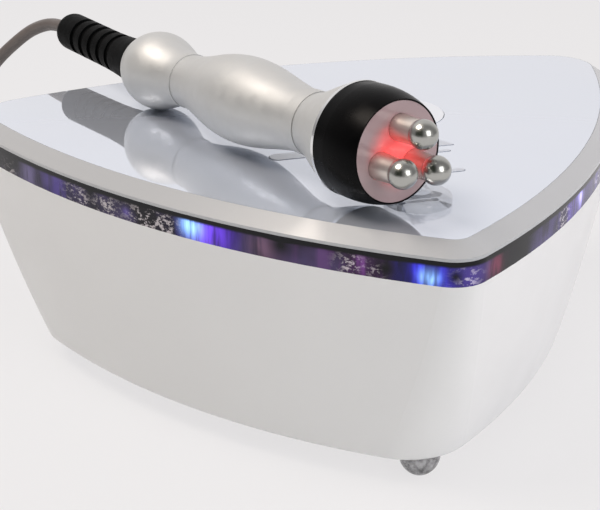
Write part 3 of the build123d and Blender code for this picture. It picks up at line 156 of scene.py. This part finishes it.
path = [v.co.copy() for v in line_mesh.vertices]
bpy.data.objects.remove(line_object)
bpy.data.meshes.remove(line_mesh)


def mesh_piece(name, verts, faces, smooth=True):
    mesh = bpy.data.meshes.new(name)
    mesh.from_pydata([tuple(v) for v in verts], [], faces)
    for polygon in mesh.polygons:
        polygon.use_smooth = smooth
    mesh.update()
    return link(bpy.data.objects.new(name, mesh))


def tube_along(name, places, radius, sides):
    """Closed round tube along places, carried on without twist."""
    verts, faces = [], []
    heading = (places[1] - places[0]).normalized()
    side = heading.orthogonal().normalized()
    for i, place in enumerate(places):
        before = places[max(i - 1, 0)]
        after = places[min(i + 1, len(places) - 1)]
        heading = (after - before).normalized()
        side = (side - heading * side.dot(heading)).normalized()
        up = heading.cross(side)
        for k in range(sides):
            a = 2 * pi * k / sides
            verts.append(place + (side * cos(a) + up * sin(a)) * radius)
    for i in range(len(places) - 1):
        for k in range(sides):
            n = (k + 1) % sides
            faces.append((i * sides + k, i * sides + n, (i + 1) * sides + n, (i + 1) * sides + k))
    faces.append(tuple(reversed(range(sides))))
    faces.append(tuple((len(places) - 1) * sides + k for k in range(sides)))
    return mesh_piece(name, verts, faces)


cable = tube_along("cable", path, CABLE_R * MM, CABLE_SIDES)
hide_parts("cable_free", "cable_coil", "cable_tail")
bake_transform(cable)

# Materials
SOCKETS = {
    "color": "Base Color",
    "rough": "Roughness",
    "metal": "Metallic",
    "coat": "Coat Weight",
    "coat_rough": "Coat Roughness",
    "ior": "IOR",
    "clear": "Transmission Weight",
    "specular": "Specular IOR Level",
    "glow": "Emission Strength",
    "glow_color": "Emission Color",
}
# Sockets of the mix node when it mixes colours
MIX_SHARE = 0
MIX_FIRST = 6
MIX_SECOND = 7
MIX_RESULT = 2
BLACK = (0.0, 0.0, 0.0)
# The range of a noise over which a mottled surface turns from its low to its high value
CLOUD_LOW = 0.3
CLOUD_HIGH = 0.7
CLOUD_DETAIL = 4.0
# Roughness varies on a finer scale than colour
ROUGH_FINER = 3.1
GRAIN_DETAIL = 2.0
GRAIN_DEPTH = 0.0002
# How far a roughness varies: for plastic a share of it up to a limit, for metal a share of it
PLASTIC_UNEVEN = 0.3
PLASTIC_MOST_UNEVEN = 0.06
METAL_UNEVEN = 0.25
METAL_SCALE = 80.0
METAL_AMOUNT = 0.05
METAL_GRAIN = 500.0


class Graph:
    """A node tree with a few short-hand builders."""

    def __init__(self, tree):
        self.tree = tree

    def node(self, kind, **values):
        node = self.tree.nodes.new(kind)
        for key, value in values.items():
            setattr(node, key, value)
        return node

    def feed(self, socket, value):
        """Gives a socket another node's output, a colour, a vector or a number."""
        if isinstance(value, bpy.types.NodeSocket):
            self.tree.links.new(value, socket)
        elif socket.type == "RGBA":
            socket.default_value = (*value, 1.0)
        else:
            socket.default_value = value

    def spread(self, source, low, high, out_low=0.0, out_high=1.0, curve="SMOOTHSTEP"):
        """Turns the range from low to high into the range from out_low to out_high."""
        node = self.node("ShaderNodeMapRange", interpolation_type=curve)
        values = {"Value": source, "From Min": low, "From Max": high, "To Min": out_low, "To Max": out_high}
        for name, value in values.items():
            self.feed(node.inputs[name], value)
        return node.outputs["Result"]

    def math(self, operation, *values, clamp=False):
        node = self.node("ShaderNodeMath", operation=operation, use_clamp=clamp)
        for socket, value in zip(node.inputs, values):
            self.feed(socket, value)
        return node.outputs["Value"]

    def vector(self, operation, *values, result="Vector"):
        node = self.node("ShaderNodeVectorMath", operation=operation)
        for socket, value in zip(node.inputs, values):
            self.feed(socket, value)
        return node.outputs[result]

    def mix(self, share, first, second, blend="MIX"):
        node = self.node("ShaderNodeMix", data_type="RGBA", blend_type=blend)
        self.feed(node.inputs[MIX_SHARE], share)
        self.feed(node.inputs[MIX_FIRST], first)
        self.feed(node.inputs[MIX_SECOND], second)
        return node.outputs[MIX_RESULT]

    def mix_shaders(self, share, first, second):
        node = self.node("ShaderNodeMixShader")
        for socket, value in zip(node.inputs, (share, first, second)):
            self.feed(socket, value)
        return node.outputs["Shader"]

    def backdrop(self, node, color, strength=1.0):
        """Dresses a background node."""
        self.feed(node.inputs["Color"], color)
        self.feed(node.inputs["Strength"], strength)
        return node.outputs["Background"]


class Look(Graph):
    """A material of nodes round one shader."""

    def __init__(self, name, **values):
        self.material = bpy.data.materials.new(name)
        self.material.use_nodes = True
        super().__init__(self.material.node_tree)
        self.shader = self.tree.nodes["Principled BSDF"]
        self.place = None
        for key, value in values.items():
            self.feed(self.shader.inputs[SOCKETS[key]], value)

    def position(self):
        if self.place is None:
            self.place = self.node("ShaderNodeTexCoord").outputs["Object"]
        return self.place

    def noise(self, scale, detail=3.0, rough=0.5, stretch=None):
        texture = self.node("ShaderNodeTexNoise")
        self.feed(texture.inputs["Scale"], scale)
        self.feed(texture.inputs["Detail"], detail)
        self.feed(texture.inputs["Roughness"], rough)
        source = self.position()
        if stretch:
            mapping = self.node("ShaderNodeMapping")
            self.feed(mapping.inputs["Scale"], stretch)
            self.feed(mapping.inputs["Vector"], source)
            source = mapping.outputs["Vector"]
        self.feed(texture.inputs["Vector"], source)
        return texture.outputs["Fac"]

    def paint(self, source, socket="Base Color"):
        self.feed(self.shader.inputs[socket], source)

    def bump(self, source, strength, distance=GRAIN_DEPTH):
        node = self.node("ShaderNodeBump")
        self.feed(node.inputs["Strength"], strength)
        self.feed(node.inputs["Distance"], distance)
        self.feed(node.inputs["Height"], source)
        self.paint(node.outputs["Normal"], "Normal")

    def vary(self, color, scale, amount, rough, rough_amount):
        """Uneven colour and roughness over the surface."""
        darker = tuple(c * (1 - amount) for c in color)
        lighter = tuple(min(1.0, c * (1 + amount)) for c in color)
        cloud = self.spread(self.noise(scale, CLOUD_DETAIL), CLOUD_LOW, CLOUD_HIGH)
        self.paint(self.mix(cloud, darker, lighter))
        fine = self.noise(scale * ROUGH_FINER)
        uneven = self.spread(fine, CLOUD_LOW, CLOUD_HIGH, rough - rough_amount, rough + rough_amount)
        self.paint(uneven, "Roughness")


def dress(look, *names):
    for name in names:
        node = NODES[name]
        if not node.material_slots:
            node.data.materials.append(look.material)
        for slot in node.material_slots:
            slot.material = look.material


def moulded(name, color, rough, scale=60.0, amount=0.03, bump=0.15, grain=900.0, **values):
    """Moulded plastic or rubber with a fine grain."""
    look = Look(name, **values)
    look.vary(color, scale, amount, rough, min(PLASTIC_MOST_UNEVEN, rough * PLASTIC_UNEVEN))
    look.bump(look.noise(grain, GRAIN_DETAIL), bump)
    return look


def metal(name, color, rough, bump=0.05, stretch=None):
    """Metal with a faint grain, drawn out along one way where stretch says so."""
    look = Look(name, metal=1.0)
    look.vary(color, METAL_SCALE, METAL_AMOUNT, rough, rough * METAL_UNEVEN)
    look.bump(look.noise(METAL_GRAIN, stretch=stretch), bump)
    return look


# Case
shell_look = moulded("pearl_white_shell", (0.71, 0.718, 0.727), 0.36, scale=14.0, amount=0.012, bump=0.03,
                     grain=700.0, coat=0.35, coat_rough=0.18)
dress(shell_look, "housing")
dress(moulded("underside_plastic", (0.55, 0.55, 0.56), 0.55), "bottom_plate")
bezel_look = Look("satin_bezel", coat=0.5, coat_rough=0.08)
bezel_look.vary((0.385, 0.40, 0.42), scale=450.0, amount=0.004, rough=0.28, rough_amount=0.005)
bezel_look.bump(bezel_look.noise(1800.0, 1.0), 0.01, GRAIN_DEPTH / 2)
dress(bezel_look, "bezel")
panel_look = moulded("gloss_panel", (0.69, 0.75, 0.86), 0.03, scale=10.0, amount=0.01, bump=0.004,
                     grain=200.0, metal=0.56, coat=1.0, coat_rough=0.012)
dress(panel_look, "panel")
dress(moulded("rear_plastic", (0.055, 0.055, 0.06), 0.5), "rear_plate")
dress(metal("nickel", (0.62, 0.60, 0.55), 0.25), "handpiece_socket")
black_nylon = moulded("black_nylon", (0.018, 0.018, 0.02), 0.42)
dress(black_nylon, "mains_inlet", "rocker_frame", "rocker", "cable_plug", "coil_tie")
zinc_look = metal("zinc_steel", (0.60, 0.60, 0.62), 0.32)
dress(zinc_look, "case_screws", "plate_screws", "rear_screws", "board_screws")

# Keys and their marks
key_look = moulded("key_gloss", (0.66, 0.71, 0.79), 0.14, scale=30.0, amount=0.02, bump=0.01, grain=300.0,
                   coat=0.8, coat_rough=0.03)
dress(key_look, "ring_key", "centre_key", "oval_key")
mark_look = moulded("key_marks", (0.42, 0.46, 0.54), 0.2, scale=30.0, amount=0.02, bump=0.01, grain=300.0,
                    coat=0.8)
dress(mark_look, "up_key", "line_key", "low_key")

# Inside
board_look = moulded("solder_resist", (0.03, 0.16, 0.06), 0.35, scale=120.0, amount=0.12)
dress(board_look, "led_board", "power_board", "output_board", "main_board", "key_board", "head_board")
lamp_look = moulded("lamp_body", (0.35, 0.45, 0.95), 0.25, glow=1.5, glow_color=(0.2, 0.25, 1.0))
dress(lamp_look, "band_leds")
red_lamp_look = moulded("red_lamp_body", (0.9, 0.15, 0.12), 0.25, glow=2.0, glow_color=(1.0, 0.10, 0.08))
dress(red_lamp_look, "head_leds")
core_look = metal("laminated_steel", (0.30, 0.30, 0.31), 0.5, bump=0.4, stretch=(0.1, 6.0, 0.1))
dress(core_look, "transformer_core")
winding_look = metal("copper_wire", (0.70, 0.33, 0.16), 0.35, bump=0.5, stretch=(0.2, 0.2, 8.0))
dress(winding_look, "transformer_winding", "output_coil")
dress(metal("capacitor_sleeve", (0.42, 0.44, 0.50), 0.35), "capacitors")
dress(metal("extruded_aluminium", (0.66, 0.67, 0.68), 0.4), "heat_sink")
former_look = moulded("former_plastic", (0.75, 0.72, 0.64), 0.6)
dress(former_look, "coil_former", "electrode_carrier", "board_plugs")
chip_look = moulded("chip_epoxy", (0.02, 0.02, 0.022), 0.5)
dress(chip_look, "output_chips", "processor", "board_chips", "key_switches")

# Handpiece
boot_look = moulded("boot_rubber", (0.004, 0.0042, 0.0045), 0.5, scale=120.0, amount=0.2, bump=0.25,
                    grain=900.0, specular=0.04)
dress(boot_look, "boot")
pearl_look = moulded("pearl_silver", (0.565, 0.575, 0.575), 0.50, scale=60.0, amount=0.012, bump=0.02,
                     grain=1200.0, metal=0.66, coat=0.1, coat_rough=0.4)
dress(pearl_look, "tail_shell", "main_shell", "flare", "neck_ring")
dress(metal("bright_rim", (0.80, 0.80, 0.80), 0.16), "rim_ring")
collar_look = moulded("gloss_black", (0.0012, 0.0012, 0.0014), 0.30, scale=40.0, amount=0.1, bump=0.02,
                      grain=400.0, specular=0.06)
dress(collar_look, "collar")

# Clear cradle: its edges show more than its faces. This is a painted sheen: the pale colour grows more opaque
# towards the outline, in place of the light that clear plastic mirrors and bends at its edges
EDGE_BLEND = 0.35
cradle_look = Look("clear_acrylic", color=(0.80, 0.82, 0.86), specular=1.0)
cradle_look.paint(cradle_look.spread(cradle_look.noise(90.0), CLOUD_LOW, CLOUD_HIGH, 0.02, 0.08), "Roughness")
# Painted edge sheen: more of the pale colour shows where the surface turns away from the eye
facing = cradle_look.node("ShaderNodeLayerWeight")
cradle_look.feed(facing.inputs["Blend"], EDGE_BLEND)
cradle_look.paint(cradle_look.spread(facing.outputs["Facing"], 0.25, 0.95, 0.12, 0.62), "Alpha")
dress(cradle_look, "cradle")

# Rubber feet, dark and a little clear
foot_look = moulded("foot_rubber", (0.40, 0.40, 0.41), 0.14, scale=420.0, amount=0.55, bump=1.0, grain=260.0,
                    clear=0.6, ior=1.45)
dress(foot_look, "feet")

# Cable jacket
cable_look = moulded("cable_jacket", (0.115, 0.100, 0.095), 0.42, scale=60.0, amount=0.06, bump=0.2,
                     grain=1100.0)
cable.data.materials.append(cable_look.material)

# The handpiece's axis: a place on it behind the lens, its turn in plan and its rise
HEAD = at(-22.2, -67.1, 134.70)
HEAD_TURN = radians(-70.1)
HEAD_RISE = 0.0486
AXIS = Vector((cos(HEAD_TURN), sin(HEAD_TURN), HEAD_RISE)).normalized()
LENS_R = 18.3 * MM


def axial(look):
    """Distance along the handpiece's axis in metres."""
    away = look.vector("SUBTRACT", look.position(), HEAD)
    return look.vector("DOT_PRODUCT", away, AXIS, result="Value")


def radial(look):
    """Distance from the handpiece's axis, as a share of the lens radius."""
    away = look.vector("SUBTRACT", look.position(), HEAD)
    crossed = look.vector("CROSS_PRODUCT", away, AXIS)
    return look.math("DIVIDE", look.vector("LENGTH", crossed, result="Value"), LENS_R)


# Lens: milky rim and a red glow in the middle
LENS_UNEVEN = 0.25
lens_look = Look("milky_lens", rough=0.16, coat=0.6, coat_rough=0.05, glow=0.75)
cloud = lens_look.math("MULTIPLY", lens_look.noise(160.0), LENS_UNEVEN)
outward = lens_look.math("ADD", radial(lens_look), cloud)
lens_look.paint(lens_look.mix(lens_look.spread(outward, 0.30, 0.98), (0.72, 0.10, 0.10), (0.325, 0.24, 0.25)))
fading = lens_look.spread(outward, 0.25, 0.86)
lens_look.paint(lens_look.mix(fading, (0.95, 0.10, 0.10), (0.03, 0.015, 0.016)), "Emission Color")
dress(lens_look, "lens")

# Electrodes: satin stems and bright balls, which start at these distances along the axis
BALL_FROM = 31.4 * MM
BALL_TO = 32.6 * MM
STEM_ROUGH = 0.34
BALL_ROUGH = 0.25
electrode_look = Look("polished_steel", metal=1.0)
electrode_look.bump(electrode_look.noise(METAL_GRAIN), 0.02)
ball_share = electrode_look.spread(axial(electrode_look), BALL_FROM, BALL_TO)
electrode_look.paint(electrode_look.spread(ball_share, 0.0, 1.0, STEM_ROUGH, BALL_ROUGH), "Roughness")
electrode_look.paint(electrode_look.mix(ball_share, (0.74, 0.67, 0.62), (0.46, 0.46, 0.435)))
dress(electrode_look, "electrode_top", "electrode_right", "electrode_left")

# Light band: dark violet plastic with bright bits inside and a few lit lamps
BAND_TOP = 105.4
# The black line under the band's top starts and is full at these depths
LINE_FROM = 2.6
LINE_FULL = 1.4
# Lit spots: place, reach in millimetres, colour, strength
GLOWS = [
    ((-81.3, -52.1, 101.5), 4.0, (0.25, 0.55, 1.0), 2.6),
    ((-76.5, -57.5, 101.0), 9.0, (0.16, 0.05, 0.85), 1.4),
    ((-122.0, 7.0, 99.5), 10.0, (0.12, 0.07, 0.42), 0.45),
    ((-132.0, 26.0, 99.5), 6.0, (0.30, 0.24, 0.50), 0.35),
    ((-101.4, -26.5, 99.5), 1.6, (0.22, 0.14, 0.75), 1.0),
    ((-60.0, -75.0, 100.0), 6.0, (0.60, 0.30, 0.42), 0.22),
    ((-43.0, -90.5, 100.0), 13.0, (0.16, 0.03, 0.18), 0.32),
    ((-30.0, -101.5, 100.0), 6.0, (0.30, 0.08, 0.42), 0.5),
    ((-11.6, -114.8, 99.0), 2.8, (0.35, 0.72, 1.0), 2.2),
    ((-12.2, -114.4, 100.0), 7.5, (0.04, 0.03, 0.90), 1.3),
    ((12.6, -113.2, 100.0), 4.5, (0.50, 0.07, 0.16), 0.45),
    ((2.0, -119.5, 99.0), 8.0, (0.05, 0.02, 0.30), 0.5),
    ((70.0, -64.5, 101.5), 3.4, (0.50, 0.46, 1.0), 1.6),
    ((64.0, -69.5, 101.0), 14.0, (0.12, 0.06, 0.55), 0.6),
    ((86.0, -46.7, 101.0), 9.0, (0.14, 0.10, 0.50), 0.4),
    ((45.0, -88.0, 100.0), 12.0, (0.16, 0.12, 0.40), 0.28),
]
# Black stretches, then stretches with bright bits: place, reach in millimetres
BLACKS = [
    ((-111.5, -9.5, 103.0), 3.5),
    ((-138.0, 37.0, 103.5), 5.0),
    ((-24.6, -106.0, 100.0), 4.2),
    ((-3.8, -118.9, 100.0), 2.8),
    ((-55.0, -80.0, 102.0), 5.0),
    ((27.0, -102.0, 101.0), 7.0),
]
BITS = [
    ((-139.0, 39.0, 99.0), 4.0),
    ((-115.5, -4.0, 99.0), 7.0),
    ((-107.0, -17.0, 98.5), 6.0),
    ((-95.3, -34.5, 99.0), 8.0),
    ((-88.5, -43.0, 98.5), 5.0),
    ((-35.0, -97.5, 99.0), 4.5),
    ((-27.0, -104.0, 98.5), 2.6),
    ((0.5, -120.0, 98.8), 4.6),
    ((57.0, -78.0, 99.0), 6.0),
    ((88.0, -44.0, 99.0), 6.0),
]
band_look = Look("light_band_look", rough=0.15, specular=0.15, coat=0.2, coat_rough=0.03, glow=1.0)


def near(place, reach):
    """One at a place on the band, falling to nothing over its reach."""
    gap = band_look.vector("DISTANCE", band_look.position(), at(*place), result="Value")
    share = band_look.math("DIVIDE", gap, reach * MM)
    squared = band_look.math("MULTIPLY", share, share)
    return band_look.math("EXPONENT", band_look.math("MULTIPLY", squared, -1.0))


def any_near(spots):
    total = near(*spots[0])
    for spot in spots[1:]:
        total = band_look.math("ADD", total, near(*spot), clamp=True)
    return total


tone = band_look.spread(band_look.noise(45.0, 2.0), 0.4, 0.62)
dark = band_look.mix(tone, (0.008, 0.007, 0.011), (0.050, 0.040, 0.105))
shreds = band_look.spread(band_look.noise(300.0, 3.0, 0.8, (1.0, 1.0, 1.7)), 0.50, 0.60)
bits = band_look.math("MULTIPLY", shreds, any_near(BITS))
tinted = band_look.mix(bits, dark, (0.50, 0.47, 0.50))
axes = band_look.node("ShaderNodeSeparateXYZ")
band_look.feed(axes.inputs["Vector"], band_look.position())
top_line = band_look.spread(axes.outputs["Z"], (BAND_TOP - LINE_FROM) * MM, (BAND_TOP - LINE_FULL) * MM)
blacked = band_look.math("ADD", top_line, any_near(BLACKS), clamp=True)
band_look.paint(band_look.mix(blacked, tinted, (0.003, 0.003, 0.005)))
glow = None
for place, reach, color, strength in GLOWS:
    lit = band_look.mix(near(place, reach), BLACK, tuple(c * strength for c in color))
    glow = lit if glow is None else band_look.mix(1.0, glow, lit, "ADD")
streaks = band_look.spread(band_look.noise(170.0, 3.0, 0.65, (1.0, 1.0, 0.16)), 0.38, 0.60, 0.22, 1.0)
glow = band_look.mix(1.0, glow, streaks, "MULTIPLY")
band_look.paint(band_look.mix(blacked, glow, BLACK), "Emission Color")
dress(band_look, "light_band")

# Floor, which shows mostly an even pale colour to the camera and in mirrors
PALE = (0.845, 0.828, 0.833)
FLOOR_HALF = 6
FLOOR_EVEN = 0.86
corners = [(-1, -1), (1, -1), (1, 1), (-1, 1)]
floor = mesh_piece("floor", [(x * FLOOR_HALF, y * FLOOR_HALF, 0) for x, y in corners], [(0, 1, 2, 3)], False)
floor_look = Look("pale_floor", rough=0.9, color=(0.76, 0.785, 0.80))
rays = floor_look.node("ShaderNodeLightPath").outputs
pale = floor_look.node("ShaderNodeEmission")
floor_look.feed(pale.inputs["Color"], PALE)
seen = floor_look.math("MAXIMUM", rays["Is Camera Ray"], rays["Is Glossy Ray"])
seen = floor_look.math("MAXIMUM", seen, rays["Is Transmission Ray"])
even = floor_look.math("MULTIPLY", seen, FLOOR_EVEN)
surface = floor_look.mix_shaders(even, floor_look.shader.outputs["BSDF"], pale.outputs["Emission"])
floor_look.feed(floor_look.tree.nodes["Material Output"].inputs["Surface"], surface)
floor.data.materials.append(floor_look.material)

# Room: pale to the camera, with soft light that is stronger from one side
SKY_SLANT = (0.85, -0.45, 0.25)
SKY_LEAST = 0.13
SKY_MOST = 0.66
# What bright surfaces mirror: a wall that is brightest ahead, and a dark doorway at the camera's left hand
AHEAD = Vector((0.26, 0.90, 0.35)).normalized()
AHEAD_INNER = radians(35)
AHEAD_OUTER = radians(75)
WALL_LEAST = 0.36
DOORWAY = Vector((-0.80, -0.58, 0.38))
DOORWAY_FLAT = Vector((1.0, 1.0, 0.6))
DOORWAY_INNER = radians(24)
DOORWAY_OUTER = radians(38)
DOORWAY_DARK = (0.012, 0.022, 0.012)
studio = bpy.data.worlds.new("studio")
bpy.context.scene.world = studio
studio.use_nodes = True
room = Graph(studio.node_tree)
way = room.node("ShaderNodeTexCoord").outputs["Generated"]
rays = room.node("ShaderNodeLightPath").outputs
slant = room.vector("DOT_PRODUCT", way, SKY_SLANT, result="Value")
fill = room.spread(slant, -1.0, 1.0, SKY_LEAST, SKY_MOST, curve="LINEAR")
sky = room.backdrop(room.tree.nodes["Background"], PALE, fill)
ahead = room.vector("DOT_PRODUCT", way, AHEAD, result="Value")
rise = room.spread(ahead, cos(AHEAD_OUTER), cos(AHEAD_INNER), WALL_LEAST, 1.0)
wall = room.backdrop(room.node("ShaderNodeBackground"), PALE, rise)
flat = room.vector("NORMALIZE", room.vector("MULTIPLY", way, DOORWAY_FLAT))
toward = room.vector("DOT_PRODUCT", flat, (DOORWAY * DOORWAY_FLAT).normalized(), result="Value")
edge = room.spread(toward, cos(DOORWAY_OUTER), cos(DOORWAY_INNER))
doorway = room.backdrop(room.node("ShaderNodeBackground"), DOORWAY_DARK)
mirrored = room.math("MULTIPLY", edge, rays["Is Glossy Ray"])
walls = room.mix_shaders(mirrored, room.mix_shaders(rays["Is Glossy Ray"], sky, wall), doorway)
shown = room.backdrop(room.node("ShaderNodeBackground"), PALE)
seen = room.math("MAXIMUM", rays["Is Camera Ray"], rays["Is Transmission Ray"])
room.feed(room.tree.nodes["World Output"].inputs["Surface"], room.mix_shaders(seen, walls, shown))


def lamp(name, place, aim, size, power, color=(1.0, 1.0, 1.0), mirrored=True):
    data = bpy.data.lights.new(name, "AREA")
    data.shape = "RECTANGLE"
    data.size, data.size_y = size
    data.energy = power
    data.color = color
    light = link(bpy.data.objects.new(name, data))
    light.location = place
    light.rotation_euler = (Vector(aim) - Vector(place)).to_track_quat("-Z", "Y").to_euler()
    light.visible_glossy = mirrored


# Lamps: place and aim in metres, size, watts, colour
lamp("key_light", (0.50, -1.30, 0.72), (0, -0.05, 0.1), (0.7, 0.8), 7.4)
lamp("top_light", (-0.62, 0.0, 1.22), (0, 0, 0.1), (0.6, 0.5), 13.0, (1.0, 0.89, 0.79))
lamp("right_light", (1.2, -0.3, 0.6), (0, 0, 0.08), (0.5, 0.6), 4.2, (1.0, 0.90, 0.92), mirrored=False)

bpy.context.scene.view_settings.view_transform = "Standard"
